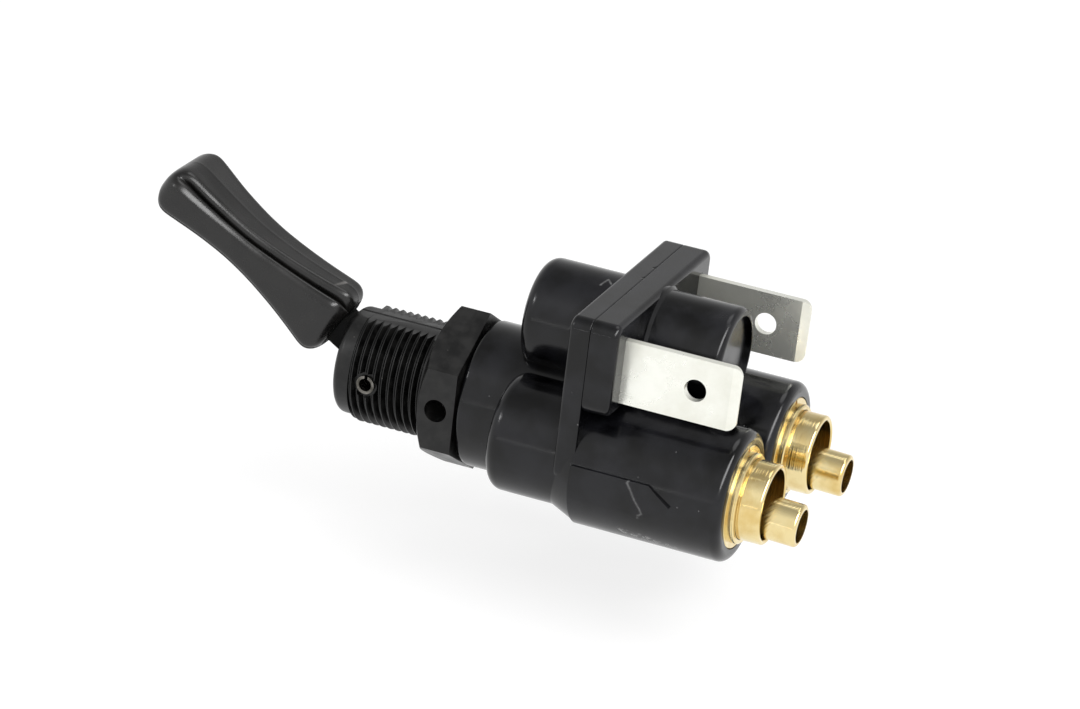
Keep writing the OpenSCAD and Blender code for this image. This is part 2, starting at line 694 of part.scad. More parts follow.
// Blade terminal with a foot inside the cover, on the side given by its sign
module terminal(side) {
    length = blade_end - foot_x;
    tip_cut = blade_t / 3;
    color(tinned) translate([0, side * blade_y, blade_z]) difference() {
        union() {
            rotate([90, 0, 0]) linear_extrude(blade_t, center = true) {
                translate([foot_x + length / 2, 0]) rounded_square([length, blade_w], blade_round);
                translate([foot_x, -blade_w / 2]) square([length / 2, blade_w]);
            }
            translate([foot_x, side > 0 ? foot_reach - blade_y : -blade_t / 2, -blade_w / 2])
                cube([blade_t, blade_y + blade_t / 2 - foot_reach, blade_w]);
        }
        translate([blade_end - blade_hole_x, 0, 0]) rotate([90, 0, 0])
            cylinder(d = blade_hole_d, h = 4 * blade_t, center = true);
        for (face = [-1, 1]) linear_extrude(2 * blade_w, center = true) polygon([
            [blade_end - blade_bevel, face * blade_t / 2],
            [blade_end + lap, face * (blade_t / 2 + lap)],
            [blade_end + lap, face * (blade_t / 2 - tip_cut * (1 + lap / blade_bevel))]
        ]);
    }
}

// Switch cover: flange with a pocket for the contacts, and a spring barrel
module switch_cover() {
    root_d = spring_barrel_d + 2 * spring_barrel_root;
    color(gloss_black) difference() {
        union() {
            rounded_plate(seam_x, cover_x, flange_y, cover_low, flange_top,
                flange_round, seam_edge, cover_edge);
            translate([0, 0, switch_z]) {
                rounded_bar(seam_x, spring_barrel_x, spring_barrel_d, 0, spring_barrel_round);
                bar(cover_x - cover_edge, cover_x, root_d);
                translate([cover_x, 0, 0]) rotate([0, 90, 0])
                    cylinder(d1 = root_d, d2 = spring_barrel_d, h = spring_barrel_root);
            }
        }
        translate([seam_x - lap, -blade_y - slot_w / 2, blade_z - pocket_half])
            cube([pocket_x - seam_x + lap, 2 * blade_y + slot_w, 2 * pocket_half]);
        for (side = [-1, 1]) translate([seam_x, side * blade_y - slot_w / 2, blade_z - pocket_half])
            cube([cover_t + lap, slot_w, 2 * pocket_half]);
        translate([0, 0, switch_z]) {
            bar(seam_x - lap, spring_end_x, spring_bore_d);
            bar(spring_barrel_x - end_recess, spring_barrel_x + lap, end_recess_d);
        }
    }
}

// Piston that the delivered air pushes towards the contacts
module switch_piston() {
    land_r = chamber_d / 2 - running;
    floor_r = chamber_d / 2 - piston_ring_d - 2 * seated;
    groove_half = piston_ring_d / 2 + seated;
    land_x = piston_x + piston_nose;
    color(acetal) translate([0, 0, switch_z]) turned(concat(
        [[0, piston_x], [floor_r, piston_x], [floor_r, land_x], [land_r, land_x]],
        [[land_r, piston_ring_x - groove_half], [floor_r, piston_ring_x - groove_half]],
        [[floor_r, piston_ring_x + groove_half], [land_r, piston_ring_x + groove_half]],
        [[land_r, land_x + piston_len], [floor_r, land_x + piston_len], [floor_r, bridge_x]],
        [[switch_stem_d / 2, bridge_x], [switch_stem_d / 2, switch_stem_x], [0, switch_stem_x]]
    ));
}

// Sealing ring of the switch piston
module piston_seal() {
    color(rubber) translate([0, 0, switch_z])
        o_ring(piston_ring_x, chamber_d / 2 - seated - piston_ring_d / 2, piston_ring_d);
}

// Strip that joins the two terminals when the piston moves back
module contact_bridge() {
    color(brass) translate([0, 0, switch_z]) plate(bridge_x, bridge_x + bridge_t) difference() {
        rounded_square([2 * bridge_half, bridge_w], bridge_w / 3);
        circle(d = switch_stem_d + 2 * seated);
    }
}

// Spring that opens the contacts again
module switch_spring() {
    turns = 7;
    color(steel) translate([0, 0, switch_z])
        coil(bridge_x + bridge_t + seated, spring_end_x - seated, switch_mean_r, switch_wire_d, turns);
}

// Brass cartridge pressed into a port sleeve, with a dimple punched in its face
module cartridge(side) {
    lip_r = collet_d / 2 + running;
    face_r = cartridge_d / 2;
    boss_r = boss_d / 2;
    boss_x = port_x + boss_len;
    inner_x = cartridge_x + cartridge_wall;
    dimple_r = (face_r + boss_r) / 2;
    color(brass) translate([0, side * port_y, -port_drop]) difference() {
        turned([
            [collet_bore_d / 2, cartridge_x], [face_r, cartridge_x],
            [face_r, port_x - cartridge_chamfer], [face_r - cartridge_chamfer, port_x],
            [boss_r, port_x], [boss_r, boss_x - cartridge_chamfer],
            [boss_r - cartridge_chamfer, boss_x], [lip_r, boss_x],
            [lip_r, lip_x], [cavity_d / 2, lip_x], [cavity_d / 2, inner_x], [collet_bore_d / 2, inner_x]
        ]);
        translate([0, 0, dimple_r]) bar(port_x - dimple_d / 2, port_x + lap, dimple_d);
    }
}

// Release collet with a turned groove outside and gripping jaws inside
module collet(side) {
    bore_r = collet_bore_d / 2;
    jaw_step = 0.15;
    jaw_len = 0.5;
    lead_in = 0.12;
    ridge_d = cavity_d - 4 * running;
    ridge_x = lip_x - stroke_gap;
    ridge_len = 0.9;
    groove_len = 0.25;
    groove_x = port_x + boss_len + groove_len / 2;
    groove_cut = 0.22;
    groove_r = collet_d / 2 - groove_cut;
    slit = 0.7;
    slit_len = 2.5;
    color(brass) translate([0, side * port_y, -port_drop]) difference() {
        union() {
            rounded_bar(collet_start, collet_end, collet_d, 0, collet_round);
            bar(ridge_x - ridge_len, ridge_x, ridge_d);
        }
        bar(collet_start - lap, collet_end + lap, collet_bore_d - 2 * jaw_step);
        bar(collet_start + jaw_len, collet_end + lap, collet_bore_d);
        translate([collet_end - lead_in, 0, 0]) rotate([0, 90, 0])
            cylinder(r1 = bore_r, r2 = bore_r + 2 * lead_in, h = 2 * lead_in);
        turned([
            [groove_r, groove_x], [collet_d, groove_x],
            [collet_d, groove_x + groove_len], [groove_r, groove_x + groove_len]
        ]);
        for (turn = [0, 90]) rotate([turn, 0, 0]) translate([collet_start - lap, -collet_d, -slit / 2])
            cube([slit_len + lap, 2 * collet_d, slit]);
    }
}

// Ring in a cartridge that seals on the tube
module tube_seal(side) {
    color(rubber) translate([0, side * port_y, -port_drop]) o_ring(seal_x, seal_mean, seal_d);
}

// Tube insert with a flange inside the sleeve and a rounded mouth
module tube_insert(side) {
    r = insert_d / 2;
    mouth = 0.34;
    flange_len = 0.5;
    color(brass) translate([seal_x, side * port_y, -port_drop - sag_seal]) rotate([0, insert_tilt, 0])
        translate([-seal_x, 0, 0]) turned(concat(
            [[r - insert_wall, insert_start], [insert_flange_d / 2, insert_start]],
            [[insert_flange_d / 2, insert_start + flange_len], [r, insert_start + flange_len]],
            [for (a = [0 : 15 : 90]) [r - mouth * (1 - cos(a)), insert_end - mouth * (1 - sin(a))]],
            [[r - insert_wall, insert_end]]
        ));
}

body();
bonnet();
bonnet_seal();
lever();
pivot_pin();
valve_spool();
spool_seal(front_ring_x);  // front_spool_seal
spool_seal(rear_ring_x);  // rear_spool_seal
return_spring();
switch_cover();
terminal(-1);  // near_terminal
terminal(1);  // far_terminal
switch_piston();
piston_seal();
contact_bridge();
switch_spring();
cartridge(-1);  // delivery_cartridge
collet(-1);  // delivery_collet
tube_seal(-1);  // delivery_seal
tube_insert(-1);  // delivery_insert
cartridge(1);  // supply_cartridge
collet(1);  // supply_collet
tube_seal(1);  // supply_seal
tube_insert(1);  // supply_insert
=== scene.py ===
import math

import bmesh
import bpy
from mathutils import Matrix, Vector


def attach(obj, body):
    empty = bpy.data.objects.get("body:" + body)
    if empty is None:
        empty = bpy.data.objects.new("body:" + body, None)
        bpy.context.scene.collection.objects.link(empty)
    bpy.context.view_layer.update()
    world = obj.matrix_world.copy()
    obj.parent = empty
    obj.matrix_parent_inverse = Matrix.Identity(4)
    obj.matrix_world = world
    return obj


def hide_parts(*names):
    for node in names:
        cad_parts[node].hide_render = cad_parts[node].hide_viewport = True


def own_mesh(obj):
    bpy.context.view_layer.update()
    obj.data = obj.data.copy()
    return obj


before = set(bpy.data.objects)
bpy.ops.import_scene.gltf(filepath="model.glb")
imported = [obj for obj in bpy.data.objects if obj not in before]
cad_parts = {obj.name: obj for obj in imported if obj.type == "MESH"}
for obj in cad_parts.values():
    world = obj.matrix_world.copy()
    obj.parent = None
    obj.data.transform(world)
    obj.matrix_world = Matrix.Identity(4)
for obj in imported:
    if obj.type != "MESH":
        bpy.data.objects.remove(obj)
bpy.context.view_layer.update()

mm = 0.001


# Body: one injection moulding in glossy black nylon, with the barrel, the lobes, the flange,
# the two port sleeves and the raised flow arrows. Its skin is slightly wavy from the mould,
# and handling has left a fibre, whitish scuffs and small nicks on it.

def effect(name, inputs, outputs):
    tree = bpy.data.node_groups.new(name, "ShaderNodeTree")
    for label, kind, value in inputs:
        socket = tree.interface.new_socket(label, in_out="INPUT", socket_type="NodeSocket" + kind)
        socket.default_value = value
    for label, kind in outputs:
        tree.interface.new_socket(label, in_out="OUTPUT", socket_type="NodeSocket" + kind)
    return tree, tree.nodes.new("NodeGroupInput").outputs, tree.nodes.new("NodeGroupOutput").inputs


def add(tree, kind, feeds, **settings):
    node = tree.nodes.new("ShaderNode" + kind)
    for name, value in settings.items():
        setattr(node, name, value)
    for name, value in feeds.items():
        if isinstance(value, bpy.types.NodeSocket):
            tree.links.new(value, node.inputs[name])
        else:
            node.inputs[name].default_value = value
    return node.outputs


def math_step(tree, operation, first, second=0.0, clamp=False):
    return add(tree, "Math", {0: first, 1: second}, operation=operation, use_clamp=clamp)[0]


def vector_step(tree, operation, first, second=(0, 0, 0)):
    result = add(tree, "VectorMath", {0: first, 1: second}, operation=operation)
    return result["Value"] if operation in ("DOT_PRODUCT", "LENGTH") else result["Vector"]


def fade(tree, gap, reach):
    return math_step(tree, "SUBTRACT", 1.0, math_step(tree, "DIVIDE", gap, reach), clamp=True)


# The skin effect: broad waves and a fine grain for the bump, smudges that dull the gloss, and clouds
skin, skin_in, skin_out = effect(
    "skin",
    [("Wave Scale", "Float", 160.0), ("Grain Scale", "Float", 5000.0), ("Grain Share", "Float", 0.2),
     ("Smudge Scale", "Float", 300.0), ("Gloss", "Float", 0.12), ("Dull", "Float", 0.3)],
    [("Roughness", "Float"), ("Height", "Float"), ("Cloud", "Float")])
place = add(skin, "TexCoord", {})["Object"]
smudge = add(skin, "TexNoise", {"Vector": place, "Scale": skin_in["Smudge Scale"], "Detail": 4.0})[0]
rough = add(skin, "MapRange", {"Value": smudge, "From Min": 0.3, "From Max": 0.75,
                               "To Min": skin_in["Gloss"], "To Max": skin_in["Dull"]})[0]
wave = add(skin, "TexNoise", {"Vector": place, "Scale": skin_in["Wave Scale"], "Detail": 1.0})[0]
grain = add(skin, "TexNoise", {"Vector": place, "Scale": skin_in["Grain Scale"], "Detail": 2.0})[0]
grain_part = math_step(skin, "MULTIPLY", grain, skin_in["Grain Share"])
cloud = add(skin, "MapRange", {"Value": smudge, "From Min": 0.4, "From Max": 0.62})[0]
skin.links.new(rough, skin_out["Roughness"])
skin.links.new(cloud, skin_out["Cloud"])
skin.links.new(math_step(skin, "ADD", wave, grain_part), skin_out["Height"])

# The streak effect: a soft line between two places, broken up by noise
streak, streak_in, streak_out = effect(
    "streak",
    [("Start", "Vector", (0, 0, 0)), ("End", "Vector", (0, 0, 0)),
     ("Width", "Float", 0.0002), ("Break", "Float", 0.0)],
    [("Mask", "Float")])
place = add(streak, "TexCoord", {})["Object"]
along = vector_step(streak, "SUBTRACT", streak_in["End"], streak_in["Start"])
offset = vector_step(streak, "SUBTRACT", place, streak_in["Start"])
share = math_step(streak, "DIVIDE", vector_step(streak, "DOT_PRODUCT", offset, along),
                  vector_step(streak, "DOT_PRODUCT", along, along), clamp=True)
nearest = add(streak, "VectorMath", {0: along, "Scale": share}, operation="SCALE")["Vector"]
gap = vector_step(streak, "LENGTH", vector_step(streak, "SUBTRACT", offset, nearest))
line = fade(streak, gap, streak_in["Width"])
patches = add(streak, "TexNoise", {"Vector": place, "Scale": 2600.0, "Detail": 3.0})[0]
patches = add(streak, "MapRange", {"Value": patches, "From Min": 0.45, "From Max": 0.6})[0]
holes = math_step(streak, "MULTIPLY", math_step(streak, "SUBTRACT", 1.0, patches), streak_in["Break"])
streak.links.new(math_step(streak, "MULTIPLY", line, math_step(streak, "SUBTRACT", 1.0, holes)),
                 streak_out["Mask"])

# The dust effect: a pale speck in about half of the cells
dust, dust_in, dust_out = effect(
    "dust", [("Scale", "Float", 800.0), ("Size", "Float", 0.06)], [("Mask", "Float")])
place = add(dust, "TexCoord", {})["Object"]
cell = add(dust, "TexVoronoi", {"Vector": place, "Scale": dust_in["Scale"]})
speck = fade(dust, cell["Distance"], dust_in["Size"])
kept = math_step(dust, "GREATER_THAN", cell["Color"], 0.5)
dust.links.new(math_step(dust, "MULTIPLY", speck, kept), dust_out["Mask"])


def finish_of(name, **plain):
    material = bpy.data.materials.new(name)
    material.use_nodes = True
    shader = material.node_tree.nodes["Principled BSDF"]
    for label, value in plain.items():
        shader.inputs[label.replace("_", " ")].default_value = value
    return material, material.node_tree, shader.inputs


def effect_in(tree, group, **values):
    node = tree.nodes.new("ShaderNodeGroup")
    node.node_tree = group
    for label, value in values.items():
        node.inputs[label.replace("_", " ")].default_value = value
    return node.outputs


def bump(tree, shader, height, depth):
    shader_normal = add(tree, "Bump", {"Height": height, "Distance": depth, "Strength": 1.0})[0]
    tree.links.new(shader_normal, shader["Normal"])


def dress(material, *names):
    for name in names:
        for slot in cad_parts[name].material_slots:
            slot.material = material


def highest(tree, masks):
    mask = masks[0]
    for other in masks[1:]:
        mask = math_step(tree, "MAXIMUM", mask, other)
    return mask


def line_mask(tree, lines, width, broken):
    return highest(tree, [effect_in(tree, streak, Start=Vector(start) * mm, End=Vector(end) * mm,
                                    Width=width * mm, Break=broken)["Mask"] for start, end in lines])


def path_mask(tree, path, width, broken):
    return line_mask(tree, list(zip(path, path[1:])), width, broken)


def two_tone(tree, mask, *colours):
    first, second = (c if isinstance(c, bpy.types.NodeSocket) else (*c, 1) for c in colours)
    return add(tree, "Mix", {"Factor": mask, "A": first, "B": second}, data_type="RGBA")[2]


nylon_dark, nylon_light = (0.0004, 0.0004, 0.0006), (0.0072, 0.0074, 0.0092)
nylon_wave = 0.016 * mm
mark_grey = (0.42, 0.42, 0.42)
mark_dulling, nick_depth = 0.6, 8.0
fibre_path = [(24.41, -13.51, 1.31), (24.2, -13.61, 0.88), (24.62, -13.71, 0.31), (25.15, -13.76, -0.56),
              (25.74, -13.71, -1.34), (25.98, -13.64, -1.82), (25.6, -13.5, -2.15), (25.47, -13.1, -2.6)]
curl_path = [(15.3, -2.15, 14.92), (15.7, -1.14, 15.24), (16.2, -1.7, 15.09)]
scuff_lines = [((23.6, -11.7, -4.93), (25.6, -11.3, -5.33)), ((26.7, -11.3, -5.33), (28.8, -11.0, -5.6)),
               ((25.6, -11.55, -5.08), (26.2, -11.5, -5.12))]
nick_lines = [((18.4, 4.1, 15.4), (18.7, 4.8, 15.4)), ((18.4, 1.0, 15.4), (18.6, 1.3, 15.4))]

nylon, tree, shader = finish_of("moulded_nylon", IOR=1.4)
moulded = effect_in(tree, skin, Wave_Scale=210.0, Grain_Scale=4200.0, Grain_Share=0.02,
                    Smudge_Scale=260.0, Gloss=0.1, Dull=0.26)
fibre = path_mask(tree, fibre_path, width=0.17, broken=0.3)
curl = path_mask(tree, curl_path, width=0.16, broken=0.3)
scuffs = line_mask(tree, scuff_lines, width=0.7, broken=1.0)
nicks = line_mask(tree, nick_lines, width=0.22, broken=0.2)
specks = effect_in(tree, dust, Scale=620.0, Size=0.05)["Mask"]
pale = highest(tree, [math_step(tree, "MULTIPLY", mark, strength) for mark, strength
                      in ((fibre, 0.25), (scuffs, 0.7), (curl, 0.3), (specks, 0.5))])
cloudy = two_tone(tree, moulded["Cloud"], nylon_dark, nylon_light)
tree.links.new(two_tone(tree, pale, cloudy, mark_grey), shader["Base Color"])
dulled = math_step(tree, "MULTIPLY", highest(tree, [pale, nicks]), mark_dulling)
tree.links.new(math_step(tree, "ADD", moulded["Roughness"], dulled, clamp=True), shader["Roughness"])
dents = math_step(tree, "MULTIPLY", nicks, nick_depth)
bump(tree, shader, math_step(tree, "SUBTRACT", moulded["Height"], dents), nylon_wave)
dress(nylon, "body")


# Bonnet: moulded in satin black plastic, with a fine panel thread, a flat along its top, a plain
# rim and a hexagon with the exhaust vent. It screws into the barrel against a ring, and a
# parting line runs along the flat. A helical tool cuts the thread into a copy of the solid.

def alone(piece):
    bpy.ops.object.select_all(action="DESELECT")
    piece.select_set(True)
    bpy.context.view_layer.objects.active = piece


def solid_copy(node, name):
    piece = bpy.data.objects.new(name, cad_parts[node].data.copy())
    bpy.context.scene.collection.objects.link(piece)
    alone(piece)
    bpy.ops.mesh.customdata_custom_splitnormals_clear()
    bpy.ops.object.mode_set(mode="EDIT")
    bpy.ops.mesh.select_all(action="SELECT")
    bpy.ops.mesh.remove_doubles(threshold=0.002 * mm)
    bpy.ops.object.mode_set(mode="OBJECT")
    return piece


def pick(piece, kind, test):
    bpy.ops.mesh.select_mode(type=kind)
    bpy.ops.mesh.select_all(action="DESELECT")
    mesh = bmesh.from_edit_mesh(piece.data)
    for item in {"VERT": mesh.verts, "FACE": mesh.faces}[kind]:
        if test(item):
            item.select_set(True)
    bmesh.update_edit_mesh(piece.data)


def face_outward():
    bpy.ops.object.mode_set(mode="EDIT")
    bpy.ops.mesh.select_all(action="SELECT")
    bpy.ops.mesh.normals_make_consistent(inside=False)
    bpy.ops.object.mode_set(mode="OBJECT")


def combine(piece, tool, operation):
    alone(piece)
    cut = piece.modifiers.new("cut", "BOOLEAN")
    cut.operation = operation
    cut.solver = "EXACT"
    cut.object = tool
    bpy.ops.object.modifier_apply(modifier=cut.name)
    bpy.data.objects.remove(tool)


def smooth_below(piece, degrees):
    alone(piece)
    bpy.ops.object.shade_smooth_by_angle(angle=math.radians(degrees))


def skin_finish(name, plain, depth, dark, light, **values):
    material, tree, shader = finish_of(name, **plain)
    surface = effect_in(tree, skin, **values)
    tree.links.new(two_tone(tree, surface["Cloud"], dark, light), shader["Base Color"])
    tree.links.new(surface["Roughness"], shader["Roughness"])
    bump(tree, shader, surface["Height"], depth)
    return material


def give_finishes(piece, main, other, test):
    piece.data.materials.clear()
    piece.data.materials.append(main)
    piece.data.materials.append(other)
    bpy.ops.object.mode_set(mode="EDIT")
    pick(piece, "FACE", test)
    piece.active_material_index = 1
    bpy.ops.object.material_slot_assign()
    bpy.ops.object.mode_set(mode="OBJECT")


thread_pitch, thread_turns, turn_steps = 0.794 * mm, 10, 64
thread_root, thread_over = 5.34 * mm, 5.89 * mm
thread_middle = (thread_root + thread_over) / 2
thread_start = -8.28 * mm
groove_mouth, groove_root_share = 0.746 * mm, 0.13
bonnet = solid_copy("bonnet", "threaded_bonnet")
bpy.ops.object.select_all(action="DESELECT")
bpy.ops.mesh.primitive_plane_add(size=1, location=(thread_start, 0, thread_middle),
                                 rotation=(math.pi / 2, 0, 0))
chaser = bpy.context.object
chaser.scale = (groove_mouth, thread_over - thread_root, 1)
bpy.ops.object.transform_apply(location=True, rotation=True, scale=True)
bpy.ops.object.mode_set(mode="EDIT")
pick(chaser, "VERT", lambda v: v.co.z < thread_middle)
bpy.ops.transform.resize(value=(groove_root_share, 1, 1), center_override=(thread_start, 0, thread_root))
bpy.ops.mesh.select_all(action="SELECT")
bpy.ops.mesh.delete(type="ONLY_FACE")
bpy.ops.object.mode_set(mode="OBJECT")
sweep = chaser.modifiers.new("sweep", "SCREW")
sweep.axis = "X"
sweep.screw_offset = thread_pitch
sweep.iterations = thread_turns
sweep.steps = sweep.render_steps = turn_steps
bpy.ops.object.modifier_apply(modifier=sweep.name)
bpy.ops.object.mode_set(mode="EDIT")
bpy.ops.mesh.select_all(action="SELECT")
bpy.ops.mesh.fill_holes(sides=4)
bpy.ops.object.mode_set(mode="OBJECT")
face_outward()
combine(bonnet, chaser, "DIFFERENCE")
smooth_below(bonnet, degrees=32)

neck_dark, neck_light, speck_tan = (0.002, 0.002, 0.002), (0.009, 0.0088, 0.0085), (0.4, 0.38, 0.35)
neck_grain = 0.004 * mm
speck_strength, parting_depth = 0.4, 20.0
parting_path = [(-10.0, 0.25, 5.2), (0, 0.25, 5.2)]
satin, tree, shader = finish_of("satin_neck", IOR=1.42)
neck_skin = effect_in(tree, skin, Wave_Scale=420.0, Grain_Scale=6500.0, Grain_Share=0.9,
                      Smudge_Scale=700.0, Gloss=0.28, Dull=0.46)
parting = path_mask(tree, parting_path, width=0.26, broken=0.0)
specks = effect_in(tree, dust, Scale=1100.0, Size=0.07)["Mask"]
cloudy = two_tone(tree, neck_skin["Cloud"], neck_dark, neck_light)
specks = math_step(tree, "MULTIPLY", specks, speck_strength)
tree.links.new(two_tone(tree, specks, cloudy, speck_tan), shader["Base Color"])
tree.links.new(math_step(tree, "ADD", neck_skin["Roughness"], parting, clamp=True), shader["Roughness"])
seam = math_step(tree, "MULTIPLY", parting, parting_depth)
bump(tree, shader, math_step(tree, "SUBTRACT", neck_skin["Height"], seam), neck_grain)

# The thread's flanks are coloured darker than the rest of the neck as painted shade in the grooves, and
# a lower IOR makes them reflect less
shaded_flank = skin_finish("painted_shade_thread_flank", {"IOR": 1.22}, depth=neck_grain,
                    dark=(0.001, 0.001, 0.001), light=(0.004, 0.0039, 0.0037),
                    Smudge_Scale=900.0, Gloss=0.26, Dull=0.42)
flank_start, flank_end, flank_slope = -8.7 * mm, -0.05 * mm, 0.3
flank_inside, flank_outside = 5.3 * mm, 5.88 * mm


def on_flank(face):
    middle = face.calc_center_median()
    return (flank_start < middle.x < flank_end and abs(face.normal.x) > flank_slope
            and flank_inside < middle.yz.length < flank_outside)


give_finishes(bonnet, satin, shaded_flank, on_flank)
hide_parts("bonnet")
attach(bonnet, "housing")


# Lever: one moulding in matt dark plastic, with a flared handle, grooves along its long edges,
# a parting line along its top, a stem, a hub and the cam. The handle is shaped from a grid,
# section by section, and the stem with hub and cam joins it, coloured near black as painted shade.

def span(value, low, high):
    return min(1, max(0, (value - low) / (high - low)))


def between(first, second, share):
    return first + (second - first) * share


def round_off(radius, angles):
    return [(radius * (1 - math.cos(math.radians(a))), radius * (1 - math.sin(math.radians(a))))
            for a in angles]


pivot = Vector((-6.3, 0, 0)) * mm
lever_up = math.radians(31.2)
handle_way = Vector((-math.cos(lever_up), 0, math.sin(lever_up)))
# Millimetres along the handle from the pivot, and across it
handle_start, handle_end, handle_lift = 6.2, 28.45, 0.07
base_round, tip_round = 1.8, 2.0
# Thickness at the waist, and how it swells from there to the base and to the tip
waist_s, waist_t = 19.2, 4.04
base_swell, base_run, base_power = 4.5, 13, 1.6
tip_swell = 1.3
# Distances from the pivot, with the handle's width at each
widths = ((handle_start, 6.25), (12, 6.45), (16, 6.8), (20, 7.5), (22.5, 8.15), (25, 9.05), (26.7, 9.45),
          (handle_end, 9.7))
# Places in from the side face and from the face below or above it, across one edge
lower_round, lower_groove, plain_round = 1.2, (0.62, 0.62), 1.7
lower_edge = round_off(lower_round, (90, 72, 54))
lower_edge += [lower_groove] + [(v, u) for u, v in reversed(lower_edge)]
grooved_edge = [(0, 2.0), (0, 1.5), (0.17, 1.04), (0.51, 0.75), (0.89, 0.82), (1.17, 1.26),
                (0.98, 0.7), (1.02, 0.27), (1.28, 0), (1.7, 0), (2.1, 0)]
plain_edge = round_off(plain_round, range(0, 91, 9))
# The room that each edge needs, and the most of the half width that the upper one takes
lower_room, upper_room_w, upper_room_t, widest_share = 1.5, 2.4, 2.1, 0.4
# The near groove drifts inward towards the tip. Both run out there, and widen and deepen at the base
drift_run, near_drift, far_drift = (17, 26), 0.55, -0.05
runout = (26.4, 27.6)
widen_run, widen_by = (18, 8), 0.25
deepen_run, deepen_by = (15, 7), 0.35
# The top is a low roof with a fine raised parting line
roof_run, roof_end, roof_low, roof_rise = (19, 24), (25.5, 27.5), 0.02, 0.06
slope_place, slope_share, foot_share = 0.6, 0.4, 0.3
line_half, line_foot, line_top = 0.16, 0.01, 0.02


def handle_t(s):
    if s < waist_s:
        return waist_t + base_swell * ((waist_s - s) / base_run) ** base_power
    return waist_t + tip_swell * ((s - waist_s) / (handle_end - waist_s)) ** 2


def handle_w(s):
    for (s1, w1), (s2, w2) in zip(widths, widths[1:]):
        if s <= s2:
            return between(w1, w2, span(s, s1, s2))
    return widths[-1][1]


def half_section(s, draw_in, drift):
    half_w, half_t = handle_w(s) / 2 - draw_in, handle_t(s) / 2 - draw_in
    grooved = 1 - span(s, *runout)
    low_size = min(1, half_w / lower_room, half_t / lower_room)
    size = min(1, half_w / upper_room_w, half_t / upper_room_t)
    wide = size * (1 + drift * span(s, *drift_run) ** 2 + widen_by * span(s, *widen_run) ** 2)
    wide = min(wide, widest_share * half_w)
    deep = min(size * (1 + deepen_by * span(s, *deepen_run)), half_t / upper_room_t)
    low = [(-half_w + u * low_size, -half_t + v * low_size) for u, v in lower_edge]
    high = [(-half_w + wide * between(plain_u, u, grooved), half_t - deep * between(plain_v, v, grooved))
            for (u, v), (plain_u, plain_v) in zip(grooved_edge, plain_edge)]
    ridge = half_t + size * (roof_low + roof_rise * span(s, *roof_run)) * (1 - span(s, *roof_end))
    inner = high[-1][0]
    top = [(slope_place * inner, between(half_t, ridge, slope_share)),
           (max(-line_half, foot_share * inner), ridge - line_foot),
           (0, ridge + line_top)]
    side = [(-half_w, (low[-1][1] + high[0][1]) / 2)]
    return [(0, -half_t), (low[0][0] / 2, -half_t)] + low + side + high + top


arc, plain_steps = (0, 22, 45, 68, 90), 20
plain_len = handle_end - tip_round - handle_start - base_round
stations = [(handle_start + run, draw_in) for run, draw_in in round_off(base_round, arc)]
stations += [(handle_start + base_round + plain_len * i / plain_steps, 0) for i in range(1, plain_steps)]
stations += [(handle_end - run, draw_in) for run, draw_in in reversed(round_off(tip_round, arc))]
sections = []
for s, draw_in in stations:
    near, far = half_section(s, draw_in, near_drift), half_section(s, draw_in, far_drift)
    sections.append((s, near + [(-y, z) for y, z in far[-2::-1]]))
# Each end closes over a smaller ring and a point
ring_share = 0.55
for s, end in ((handle_start, 0), (handle_end, -1)):
    cap = [(s, [(y * share, z * share) for y, z in sections[end][1]]) for share in (ring_share, 0)]
    sections = cap[::-1] + sections if end == 0 else sections + cap
rows, columns = len(sections), len(sections[0][1])

bpy.ops.object.select_all(action="DESELECT")
bpy.ops.mesh.primitive_grid_add(x_subdivisions=rows - 1, y_subdivisions=columns - 1, size=2)
lever = bpy.context.object
lever.name = "grooved_lever"
same_spot = 0.001
bpy.ops.object.mode_set(mode="EDIT")
for i, (s, section) in enumerate(sections):
    for j, (y, z) in enumerate(section):
        spot = Vector((2 * i / (rows - 1) - 1, 2 * j / (columns - 1) - 1, 0))
        pick(lever, "VERT", lambda v: (v.co - spot).length < same_spot)
        bpy.ops.transform.translate(value=Vector((-s, y, z)) * mm - spot)
bpy.ops.mesh.select_all(action="SELECT")
bpy.ops.mesh.remove_doubles(threshold=0.001 * mm)
bpy.ops.object.mode_set(mode="OBJECT")
smooth = lever.modifiers.new("smooth", "SUBSURF")
smooth.levels = smooth.render_levels = 2
alone(lever)
bpy.ops.object.modifier_apply(modifier=smooth.name)
face_outward()
lever.rotation_euler[1] = lever_up
lever.location = pivot + Vector((math.sin(lever_up), 0, math.cos(lever_up))) * handle_lift * mm
bpy.ops.object.transform_apply(location=True, rotation=True, scale=True)

# The stem, the hub and the cam are cut from the solid and reach a little into the handle
stem_short, stem_inside, end_slack, facing = 0.3, 1.5, 0.1, 0.999
stem_end = handle_start - stem_short
stem = solid_copy("lever", "lever_stem")
bpy.ops.object.mode_set(mode="EDIT")
bpy.ops.mesh.select_all(action="SELECT")
bpy.ops.mesh.bisect(plane_co=pivot + handle_way * stem_end * mm, plane_no=handle_way,
                    clear_outer=True, use_fill=True, threshold=0.001 * mm)
pick(stem, "FACE", lambda f: f.normal.dot(handle_way) > facing
     and (f.calc_center_median() - pivot).dot(handle_way) > (stem_end - end_slack) * mm)
bpy.ops.mesh.extrude_region_move(TRANSFORM_OT_translate={"value": handle_way * stem_inside * mm})
bpy.ops.object.mode_set(mode="OBJECT")
combine(lever, stem, "UNION")
smooth_below(lever, degrees=40)

